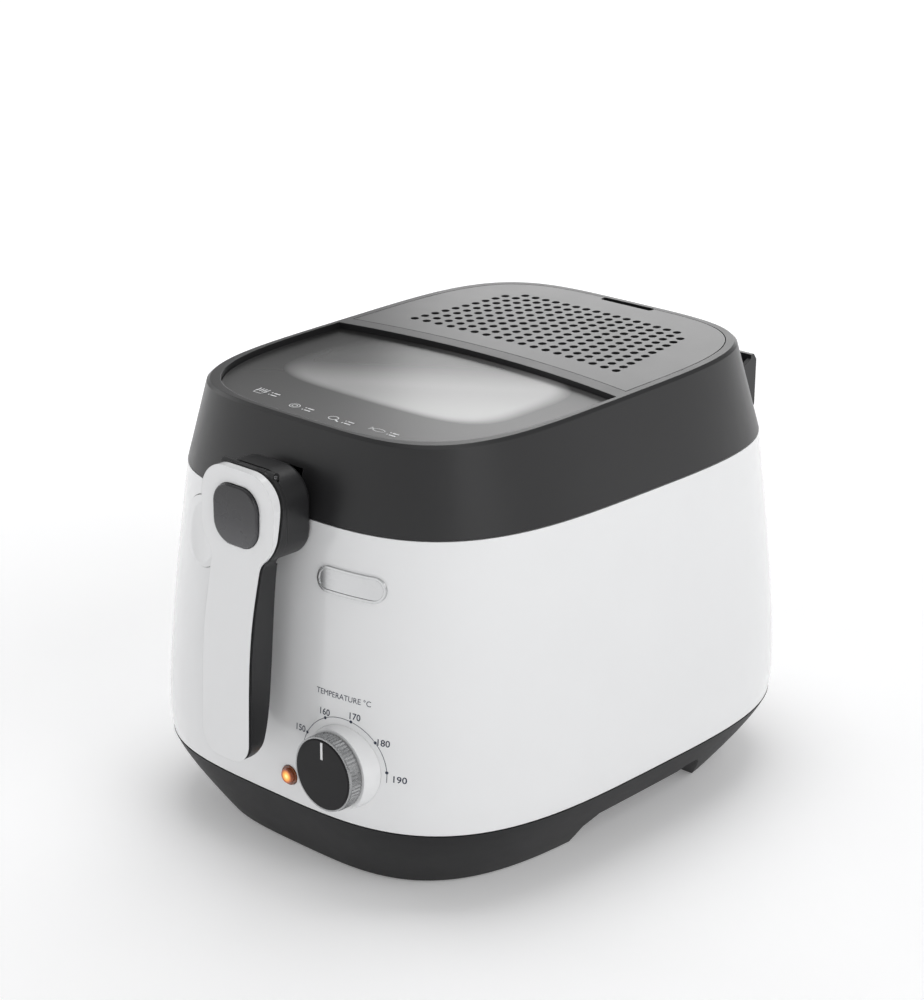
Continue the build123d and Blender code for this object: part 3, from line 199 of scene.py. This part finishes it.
def glass_material():
    """Window glass: clear middle, and a smoke-grey printed border with a soft rounded edge, both
    carrying a painted reflection that runs from dark at the rear left to pale at the front right.
    """
    m, nt, bsdf, coord = start("window_glass_printed_painted_reflection")
    obj = coord.outputs["Object"]
    x, y, _ = separate(nt, obj)
    # rounded-rectangle distance from the clear middle, 1 at its edge
    powers = []
    for value, centre, half in ((x, 0.0, 0.086), (y, -0.0485, 0.0505)):
        away = math_node(nt, "ABSOLUTE", math_node(nt, "SUBTRACT", value, centre))
        powers.append(math_node(nt, "POWER", math_node(nt, "DIVIDE", away, half), 4.0))
    reach = math_node(nt, "POWER", math_node(nt, "ADD", *powers), 0.25)
    haze = noise_node(nt, obj, 22.0, 4.0, 0.6)
    edge = math_node(nt, "ADD", reach, math_node(nt, "MULTIPLY", haze, 0.02))
    # how far from the rear left corner towards the front right one; the painted reflection on the
    # glass grows along this
    across = math_node(nt, "MULTIPLY", math_node(nt, "ADD", x, 0.12), 2.27)
    along = math_node(nt, "ADD", across, math_node(nt, "MULTIPLY", y, -3.57))
    # painted reflection: the clear middle and the printed border are painted dark at the rear left
    # and pale at the front right
    clear = ramp(nt, along, [(0.12, 0.02), (0.3, 0.12), (0.52, 0.5), (0.72, 0.66)], "EASE")
    border = ramp(nt, along, [(0.05, 0.012), (0.6, 0.07), (0.9, 0.1)])
    mix = nt.nodes.new("ShaderNodeMix")
    mix.data_type = "RGBA"
    nt.links.new(span(nt, edge, 0.0, 1.0, 0.9, 1.06), mix.inputs[0])
    nt.links.new(clear, mix.inputs[6])
    nt.links.new(border, mix.inputs[7])
    nt.links.new(mix.outputs[2], bsdf.inputs["Base Color"])
    nt.links.new(span(nt, edge, 0.35, 0.0, 0.9, 1.02), bsdf.inputs["Transmission Weight"])
    nt.links.new(span(nt, edge, 0.2, 0.26, 0.93, 1.0), bsdf.inputs["Roughness"])
    # the reflection's strength also rises towards the front right, alongside the painted
    # reflection
    nt.links.new(span(nt, along, 0.06, 0.32, 0.05, 0.75), bsdf.inputs["Specular IOR Level"])
    bsdf.inputs["IOR"].default_value = 1.5
    bump(nt, bsdf, noise_node(nt, obj, 14.0, 2.0), 0.03, 0.0003)
    return m


def button_material():
    """Dark grey soft-touch cap, a little paler towards its lower edge."""
    m, nt, bsdf, coord = start("grey_cap")
    obj = coord.outputs["Object"]
    lo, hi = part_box("handle_button")
    height = span(nt, separate(nt, obj)[2], 0.0, 1.0, lo.z, hi.z)
    mixed = math_node(nt, "ADD", height, math_node(nt, "MULTIPLY", noise_node(nt, obj, 30.0), 0.1))
    colour = ramp(nt, mixed, [(0.0, (0.09, 0.09, 0.095)), (0.5, (0.042, 0.042, 0.046)),
                              (1.0, (0.02, 0.02, 0.022))])
    nt.links.new(colour, bsdf.inputs["Base Color"])
    nt.links.new(span(nt, noise_node(nt, obj, 50.0), 0.24, 0.34), bsdf.inputs["Roughness"])
    bump(nt, bsdf, noise_node(nt, obj, 1100.0, 2.0), 0.15, 0.00005, 0.0006)
    return m


def fibre_material():
    """Charcoal fibre mat."""
    m, nt, bsdf, coord = start("charcoal_fibre")
    obj = coord.outputs["Object"]
    fibres = noise_node(nt, obj, 520.0, 6.0, 0.8, (1, 3, 1))
    nt.links.new(ramp(nt, fibres, [(0.3, 0.02), (0.62, 0.12), (0.8, 0.25)]),
                 bsdf.inputs["Base Color"])
    nt.links.new(span(nt, fibres, 0.8, 0.98), bsdf.inputs["Roughness"])
    bsdf.inputs["Sheen Weight"].default_value = 0.4
    bump(nt, bsdf, fibres, 0.9, 0.0006)
    return m


def ink(name, col):
    """Printed ink, slightly worn."""
    m, nt, bsdf, coord = start(name)
    wear = noise_node(nt, coord.outputs["Object"], 900.0, 3.0)
    nt.links.new(ramp(nt, wear, [(0.2, scaled(col, 0.8)), (0.6, col)]), bsdf.inputs["Base Color"])
    bsdf.inputs["Roughness"].default_value = 0.4
    bump(nt, bsdf, wear, 0.1, 0.00002)
    return m


MATERIALS = {
    "black_plastic": plastic("black_plastic_satin", (0.015, 0.015, 0.016), 0.35, spread=0.02,
                             strength=0.3, depth=0.00008, grain=1400.0),
    "white_plastic": plastic("white_plastic_gloss", (0.82, 0.825, 0.832), 0.22, coat=0.6,
                             coat_rough=0.07, grain=160.0, strength=0.05, tint=0.012, spread=0.03),
    "rubber": plastic("foot_rubber", (0.03, 0.03, 0.03), 0.75, tint=0.2, strength=0.4,
                      sheen=0.2),
    "silicone": plastic("seal_silicone", (0.16, 0.16, 0.165), 0.55, tint=0.1, sheen=0.2),
    "steel": metal("bright_steel", (0.66, 0.66, 0.67), 0.24, (1, 1, 14)),
    "nonstick": metal("nonstick_coating", (0.06, 0.06, 0.064), 0.38, grain=1500.0, strength=0.4,
                      tint=0.2, metallic=0.4),
    "aluminium": metal("rolled_aluminium", (0.74, 0.74, 0.75), 0.33, (14, 1, 1)),
    "element_steel": metal("element_sheath", (0.3, 0.28, 0.26), 0.45, (1, 10, 1),
                           stain=(0.17, 0.13, 0.12)),
    "ceramic": plastic("steatite", (0.78, 0.75, 0.69), 0.6, tint=0.05, grain=700.0),
    "phenolic": plastic("phenolic_brown", (0.12, 0.06, 0.04), 0.4, tint=0.15),
    "copper": metal("drawn_copper", (0.72, 0.36, 0.22), 0.28, (1, 8, 1),
                    stain=(0.42, 0.2, 0.13)),
    "lead_wire": plastic("lead_silicone", (0.42, 0.06, 0.04), 0.5, tint=0.1),
    "lamp_glass": plastic("lamp_envelope", (0.8, 0.36, 0.12), 0.2, tint=0.1, coat=0.5),
    "amber_lens": lens_material(),
    "chrome": metal("chrome_plate", (0.82, 0.83, 0.84), 0.09, (1, 1, 6), grain=300.0,
                    strength=0.04, tint=0.03),
    "window_glass": glass_material(),
    "filter_mat": fibre_material(),
    "grey_plastic": button_material(),
}
# nodes that look different from the rest of their slot
OVERRIDES = {
    "knob_cap": plastic("knob_face_black", (0.009, 0.009, 0.01), 0.3, grain=260.0, strength=0.06,
                        tint=0.1, spread=0.02, ior=1.3),
    "filter_cover": plastic("cover_plastic_satin", (0.026, 0.026, 0.027), 0.3, strength=0.2,
                            depth=0.00005, grain=1400.0, spread=0.012),
    "knob_ring": metal("ring_metal", (0.4, 0.405, 0.41), 0.26, (1, 1, 8), grain=700.0,
                       strength=0.3, tint=0.12),
    "badge": metal("badge_metal", (0.6, 0.605, 0.61), 0.2, (1, 1, 6), grain=300.0,
                   strength=0.06, tint=0.04),
    "rim_collar": plastic("collar_plastic", (0.013, 0.013, 0.014), 0.42, strength=0.35,
                          grain=1200.0),
    "base_tray": plastic("base_plastic_matt", (0.011, 0.011, 0.012), 0.5, strength=0.35,
                         grain=1200.0, spread=0.02, ior=1.35),
}
INK_DARK = ink("print_dark_blue", (0.018, 0.026, 0.055))
INK_PALE = ink("print_pale_grey", (0.85, 0.86, 0.87))

SLOTS = {row["node"]: row["material_slot"] for row in frame["record"]["subparts"]}


def paint(obj, material):
    """One material on the whole object."""
    if not obj.material_slots:
        obj.data.materials.append(material)
    for s in obj.material_slots:
        s.material = material


for node, obj in NODES.items():
    paint(obj, OVERRIDES.get(node, MATERIALS[SLOTS[node]]))


# ---------------------------------------------------------------- building pieces
def linked(name, data):
    """A new object of the data, in the scene."""
    obj = bpy.data.objects.new(name, data)
    bpy.context.scene.collection.objects.link(obj)
    return obj


def new_mesh(name, verts, faces):
    """A mesh of plain vertices and faces."""
    mesh = bpy.data.meshes.new(name)
    mesh.from_pydata([tuple(v) for v in verts], [], faces)
    mesh.update()
    return mesh


def print_on(name, sheet_verts, faces, body, material):
    """A piece of print that rides a body."""
    mesh = new_mesh(name, sheet_verts, faces)
    obj = linked(name, mesh)
    mesh.materials.append(material)
    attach(obj, body)


def smooth_in(obj, material):
    """Smooth shading and one material."""
    for p in obj.data.polygons:
        p.use_smooth = True
    obj.data.materials.clear()
    obj.data.materials.append(material)


def applied(obj):
    """Replaces the mesh by what its modifiers make of it."""
    dg = bpy.context.evaluated_depsgraph_get()
    mesh = bpy.data.meshes.new_from_object(obj.evaluated_get(dg))
    obj.modifiers.clear()
    obj.data = mesh


def flat_text(text, size):
    """Vertices and faces of a line of text, centred, in its own plane."""
    boldness = 0.012 if text.isdigit() else 0.0
    curve = bpy.data.curves.new("text_tmp", "FONT")
    curve.body = text
    curve.size = size
    curve.align_x = "CENTER"
    curve.align_y = "CENTER"
    curve.resolution_u = 3
    curve.offset = size * boldness
    obj = linked("text_tmp", curve)
    dg = bpy.context.evaluated_depsgraph_get()
    mesh = bpy.data.meshes.new_from_object(obj.evaluated_get(dg))
    verts = [v.co.copy() for v in mesh.vertices]
    faces = [tuple(p.vertices) for p in mesh.polygons]
    bpy.data.objects.remove(obj)
    bpy.data.meshes.remove(mesh)
    return verts, faces


def ellipse(x, y, rx, ry, n=16):
    """Points round an ellipse."""
    turns = [2 * math.pi * i / n for i in range(n)]
    return [(x + rx * math.cos(t), y + ry * math.sin(t)) for t in turns]


class Sheet:
    """Flat shapes gathered in a plane before they are laid on a surface."""

    def __init__(self):
        self.verts, self.faces = [], []

    def add(self, verts, faces):
        base = len(self.verts)
        self.verts += [(v[0], v[1]) for v in verts]
        self.faces += [tuple(i + base for i in f) for f in faces]

    def text(self, text, x, y, size):
        verts, faces = flat_text(text, size)
        self.add([(x + v.x, y + v.y) for v in verts], faces)

    def disc(self, x, y, r, n=18):
        self.add(ellipse(x, y, r, r, n), [tuple(range(n))])

    def stroke(self, points, width, closed=False):
        """A band of even width along the points."""
        pts = [Vector(p) for p in points]
        n = len(pts)
        verts, faces = [], []
        for i, p in enumerate(pts):
            a = pts[(i - 1) % n] if closed or i else p
            b = pts[(i + 1) % n] if closed or i < n - 1 else p
            d = (b - a).normalized()
            side = Vector((-d.y, d.x)) * width / 2
            verts += [p + side, p - side]
        for i in range(n if closed else n - 1):
            j = (i + 1) % n
            faces.append((2 * i, 2 * i + 1, 2 * j + 1, 2 * j))
        self.add(verts, faces)


def clock_point(x, z, r, degrees):
    """A point round a centre, with its angle clockwise from straight up."""
    angle = math.radians(degrees)
    return x + r * math.sin(angle), z + r * math.cos(angle)


AHEAD_Y = -0.3  # a plane ahead of the casing, from which the print is laid on it
WALL_Y = -0.18  # where the print goes if it meets a hole in the casing
INK_LIFT = 0.00008


def on_casing(x, z):
    """The point of the casing's front behind x and z, lifted by the ink's thickness."""
    ahead = Vector((x, AHEAD_Y, z))
    hit, place, normal, _ = NODES["outer_casing"].ray_cast(ahead, Vector((0, 1, 0)))
    return place + normal * INK_LIFT if hit else Vector((x, WALL_Y, z))


# Dial scale printed on the casing
dial_lo, dial_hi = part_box("knob_ring")
DIAL_X, DIAL_Z = (dial_lo.x + dial_hi.x) / 2, (dial_lo.z + dial_hi.z) / 2
ARC_RADIUS, ARC_WIDTH, ARC_START, ARC_END, ARC_STEPS = 0.0295, 0.00035, -78, 96, 60
DOT_RADIUS, DIGIT_SIZE, WORD_SIZE = 0.00095, 0.0056, 0.0048
# each number's angle on the arc, and its place from the dial's middle
MARKS = (("150", -62.0, -0.0318, 0.0148), ("160", -25.5, -0.0136, 0.030),
         ("170", 11.0, 0.0077, 0.0323), ("180", 47.5, 0.0262, 0.0203),
         ("190", 84.0, 0.0362, -0.0005))
scale = Sheet()
scale.stroke([clock_point(DIAL_X, DIAL_Z, ARC_RADIUS,
                          ARC_START + (ARC_END - ARC_START) * i / ARC_STEPS)
              for i in range(ARC_STEPS + 1)], ARC_WIDTH)
for label, angle, right_by, up_by in MARKS:
    scale.disc(*clock_point(DIAL_X, DIAL_Z, ARC_RADIUS, angle), DOT_RADIUS)
    scale.text(label, DIAL_X + right_by, DIAL_Z + up_by, DIGIT_SIZE)
scale.text("TEMPERATURE °C", DIAL_X - 0.001, DIAL_Z + 0.042, WORD_SIZE)
print_on("dial_scale_print", [on_casing(x, z) for x, z in scale.verts],
         [f[::-1] for f in scale.faces], "chassis", INK_DARK)

# Small cooking pictograms on the window's front border
GLASS_SLOPE = 0.029  # the glass falls towards the front
GLASS_TOP = 0.278 - 0.0035 + 0.00012  # lid top, less the glass's recess, plus the ink
FINE, LINE, THICK, BROAD = 0.0005, 0.0006, 0.0009, 0.0011  # widths of a stroke


def fish(s, x, y):
    s.stroke(ellipse(x, y, 0.0045, 0.0019), FINE, True)
    s.stroke([(x - 0.0045, y), (x - 0.007, y + 0.0019), (x - 0.0064, y),
              (x - 0.007, y - 0.0019), (x - 0.0045, y)], FINE)


def fries(s, x, y):
    for i in range(4):
        s.stroke([(x - 0.003 + 0.002 * i, y - 0.001), (x - 0.004 + 0.0026 * i, y + 0.0038)],
                 THICK)
    s.stroke([(x - 0.0042, y + 0.0006), (x - 0.003, y - 0.0038), (x + 0.003, y - 0.0038),
              (x + 0.0042, y + 0.0006)], LINE)


def leg(s, x, y):
    s.stroke(ellipse(x - 0.0015, y + 0.0008, 0.0034, 0.0025), LINE, True)
    s.stroke([(x + 0.0015, y - 0.0006), (x + 0.0052, y - 0.0026)], 0.001)


def ring_food(s, x, y):
    for r in (0.0036, 0.0018):
        s.stroke(ellipse(x, y, r, r * 0.8), FINE, True)


icons = Sheet()
for draw, x, y in ((fries, -0.058, -0.1285), (ring_food, -0.023, -0.1345),
                   (leg, 0.0115, -0.136), (fish, 0.045, -0.1335)):
    draw(icons, x, y)
    # two rows of dashes stand for the small print beside each
    for k in (0.0016, -0.0016):
        icons.stroke([(x + 0.0075, y + k), (x + 0.0085, y + k)], BROAD)
        icons.stroke([(x + 0.0095, y + k), (x + 0.0145, y + k)], BROAD)
print_on("window_pictograms", [(x, y, GLASS_TOP + GLASS_SLOPE * y) for x, y in icons.verts],
         icons.faces, "lid", INK_PALE)


# Wire basket, all in metres: its plan is a squarish oval, longer in y than in x
OVAL_POWER = 3.45
EXTRA_DEPTH = 0.027
ROWS, COLUMNS = 17, 108
MESH_PITCH = 0.0062
WIRE = 0.0011
FOOT = 0.009  # height of the rounded foot


def oval_point(half, depth, angle):
    c, s = math.cos(angle), math.sin(angle)
    r = (abs(c / half) ** OVAL_POWER + abs(s / depth) ** OVAL_POWER) ** (-1 / OVAL_POWER)
    return r * c, r * s


def wire_basket():
    lo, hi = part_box("basket_mesh")
    bottom = lo.z + 0.0007
    # half width and height of each ring of wire, first the two of the foot
    levels = [(0.0767, bottom), (0.0818, bottom + 0.003)]
    for i in range(ROWS + 1):
        z = bottom + FOOT + (hi.z - bottom - FOOT) * (i / ROWS)
        flare = 10.0 * (z - lo.z - FOOT) / (hi.z - lo.z - FOOT)
        levels.append(((86.0 + flare) * MM - 0.0008, z))
    verts, faces = [], []
    for half, z in levels:
        for j in range(COLUMNS):
            x, y = oval_point(half, half + EXTRA_DEPTH, 2 * math.pi * j / COLUMNS)
            verts.append((x, y, z))
    for i in range(len(levels) - 1):
        a, b = i * COLUMNS, (i + 1) * COLUMNS
        for j in range(COLUMNS):
            k = (j + 1) % COLUMNS
            faces.append((a + j, a + k, b + k, b + j))
    mesh = new_mesh("basket_wire", verts, faces)
    bm = bmesh.new()
    bm.from_mesh(mesh)
    # floor grid, kept just inside the wall
    half, depth = levels[0][0], levels[0][0] + EXTRA_DEPTH
    grid = {}
    nx, ny = int(half / MESH_PITCH), int(depth / MESH_PITCH)
    for i in range(-nx, nx + 1):
        for j in range(-ny, ny + 1):
            x, y = i * MESH_PITCH, j * MESH_PITCH
            if (abs(x) / half) ** OVAL_POWER + (abs(y) / depth) ** OVAL_POWER < 0.97:
                grid[i, j] = bm.verts.new((x, y, bottom))
    for (i, j), v in list(grid.items()):
        quad = [grid.get((i + a, j + b)) for a, b in ((0, 0), (1, 0), (1, 1), (0, 1))]
        if all(quad):
            bm.faces.new(quad)
    bm.to_mesh(mesh)
    bm.free()
    obj = linked("basket_wire", mesh)
    wires = obj.modifiers.new("wires", "WIREFRAME")
    wires.thickness = WIRE
    wires.use_even_offset = False
    applied(obj)
    smooth_in(obj, MATERIALS["steel"])
    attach(obj, "basket_carriage")
    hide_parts("basket_mesh")


wire_basket()


# Odour filter mat
MAT_SHRINK = 0.992
MAT_LUMPS, MAT_LUMP_HEIGHT, MAT_SAG = 60.0, 0.0007, 0.0004


def filter_mat():
    obj = linked("odour_filter_mat", NODES["odour_filter"].data.copy())
    remesh = obj.modifiers.new("remesh", "REMESH")
    remesh.mode = "VOXEL"
    remesh.voxel_size = 0.0032
    soften = obj.modifiers.new("soften", "SMOOTH")
    soften.iterations = 4
    soften.factor = 0.6
    applied(obj)
    lo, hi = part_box("odour_filter")
    centre = Vector(((lo.x + hi.x) / 2, (lo.y + hi.y) / 2, (lo.z + hi.z) / 2))
    for v in obj.data.vertices:
        puff = noise.noise(v.co * MAT_LUMPS) * MAT_LUMP_HEIGHT
        v.co = centre + (v.co - centre) * MAT_SHRINK
        v.co.z += puff * 0.6 - MAT_SAG
    smooth_in(obj, MATERIALS["filter_mat"])
    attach(obj, "lid")
    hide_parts("odour_filter")


filter_mat()


# ---------------------------------------------------------------- stage
FLOOR_HALF = 14.0


def floor():
    s = FLOOR_HALF
    mesh = new_mesh("floor", [(-s, -s, 0), (s, -s, 0), (s, s, 0), (-s, s, 0)], [(0, 1, 2, 3)])
    obj = linked("floor", mesh)
    m, nt, bsdf, coord = start("floor_paper")
    n = noise_node(nt, coord.outputs["Object"], 3.0, 3.0)
    nt.links.new(ramp(nt, n, [(0.3, (0.93, 0.93, 0.935)), (0.7, (0.95, 0.95, 0.955))]),
                 bsdf.inputs["Base Color"])
    bsdf.inputs["Roughness"].default_value = 0.9
    bsdf.inputs["Specular IOR Level"].default_value = 0.1
    # the far part of the sweep is lit like a backdrop
    away = nt.nodes.new("ShaderNodeVectorMath")
    away.operation = "LENGTH"
    nt.links.new(coord.outputs["Object"], away.inputs[0])
    nt.links.new(span(nt, away.outputs["Value"], 0.17, 0.55, 0.35, 2.0),
                 bsdf.inputs["Emission Strength"])
    nt.links.new(ramp(nt, n, [(0.3, (0.99, 0.99, 1.0)), (0.7, (1.0, 1.0, 1.0))]),
                 bsdf.inputs["Emission Color"])
    mesh.materials.append(m)


floor()


def area(name, place, aim, size, energy, size_y=None):
    """A soft light aimed at a point, square unless it has a second size."""
    data = bpy.data.lights.new(name, "AREA")
    data.energy = energy
    data.size = size
    if size_y:
        data.shape = "RECTANGLE"
        data.size_y = size_y
    obj = linked(name, data)
    obj.location = place
    obj.rotation_euler = (Vector(aim) - Vector(place)).to_track_quat("-Z", "Y").to_euler()


area("key_softbox", (2.0, -0.4, 1.5), (0, 0, 0.12), 1.4, 14.0)
area("fill_softbox", (-2.4, -0.6, 1.1), (0, 0, 0.12), 1.2, 8.0)
area("top_softbox", (-0.3, 0.4, 2.3), (0, 0, 0.1), 1.6, 17.0)
area("back_screen", (-1.72, 3.02, 1.15), (0, 0, 0.25), 2.0, 20.0, 1.6)

world = bpy.data.worlds.new("studio")
bpy.context.scene.world = world
world.use_nodes = True
sky_tree = world.node_tree
sky = sky_tree.nodes["Background"]
direction = sky_tree.nodes.new("ShaderNodeTexCoord").outputs["Generated"]
# pale at the horizon, dimmer overhead
sky_colour = ramp(sky_tree, separate(sky_tree, direction)[2],
                  [(0.0, 0.96), (0.1, 0.85), (0.3, 0.4), (1.0, 0.36)])
sky_tree.links.new(sky_colour, sky.inputs[0])
sky.inputs[1].default_value = 1.0

# ---------------------------------------------------------------- camera
# fitted to the photograph
AZIMUTH, ELEVATION, ROLL = (math.radians(a) for a in (42.412, 20.315, 0.466))
flat = math.cos(ELEVATION)
back = Vector((math.sin(AZIMUTH) * flat, -math.cos(AZIMUTH) * flat, math.sin(ELEVATION)))
right = Vector((math.cos(AZIMUTH), math.sin(AZIMUTH), 0))
up = back.cross(right)
right, up = (math.cos(ROLL) * right + math.sin(ROLL) * up,
             -math.sin(ROLL) * right + math.cos(ROLL) * up)
camera_data = bpy.data.cameras.new("camera")
camera_data.sensor_width = 36.0
camera_data.lens = 87.78
camera_data.shift_x = -0.0167
camera_data.shift_y = 0.02233
camera_data.clip_start = 0.05
camera = linked("camera", camera_data)
placing = Matrix((right, up, back)).transposed().to_4x4()
placing.translation = Vector((0.97093, -1.06287, 0.70102))
camera.matrix_world = placing
bpy.context.scene.camera = camera
bpy.context.scene.view_settings.view_transform = "Standard"
